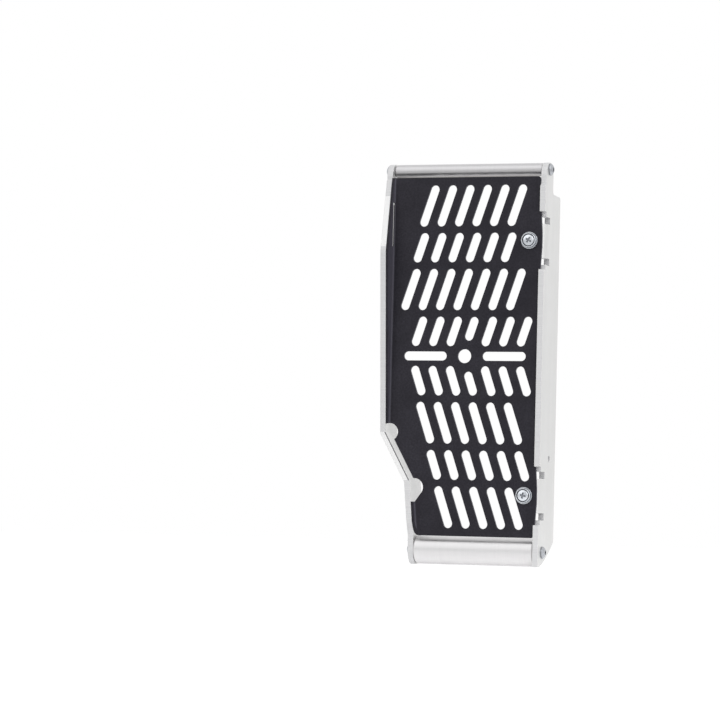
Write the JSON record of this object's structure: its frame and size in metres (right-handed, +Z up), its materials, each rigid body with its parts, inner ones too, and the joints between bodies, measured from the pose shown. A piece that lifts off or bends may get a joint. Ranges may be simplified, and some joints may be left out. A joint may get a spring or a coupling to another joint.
{
  "type": "motorcycle radiator guard",
  "caption": "Slotted radiator guard for an off-road motorcycle: a folded black screen between two aluminium side plates joined by cross-bars.",
  "frame": {"origin": "on the ground plane under the middle of the guard's box, level with the feet of the side plates", "axes": "+X towards the outer side plate, +Y from the screen to the radiator behind it, +Z up"},
  "size_m": [0.1244, 0.052, 0.2883],
  "materials": {
    "black_powder_coat": "satin black powder coat",
    "bare_aluminium": "fine brushed, uncoated",
    "turned_aluminium": "turned, uncoated",
    "zinc_steel": "clear zinc plating"
  },
  "bodies": {
    "root": {"screen": "black_powder_coat", "outer_side_plate": "bare_aluminium", "inner_side_plate": "bare_aluminium", "top_crossbar": "turned_aluminium", "bottom_crossbar": "turned_aluminium", "screen_bolt_upper": "zinc_steel", "screen_bolt_lower": "zinc_steel", "screen_washer_upper": "zinc_steel", "screen_washer_lower": "zinc_steel", "tab_nut_upper": "zinc_steel", "tab_nut_lower": "zinc_steel", "bar_bolt_top_outer": "zinc_steel", "bar_bolt_top_inner": "zinc_steel", "bar_bolt_bottom_outer": "zinc_steel", "bar_bolt_bottom_inner": "zinc_steel"}
  },
  "joints": []
}
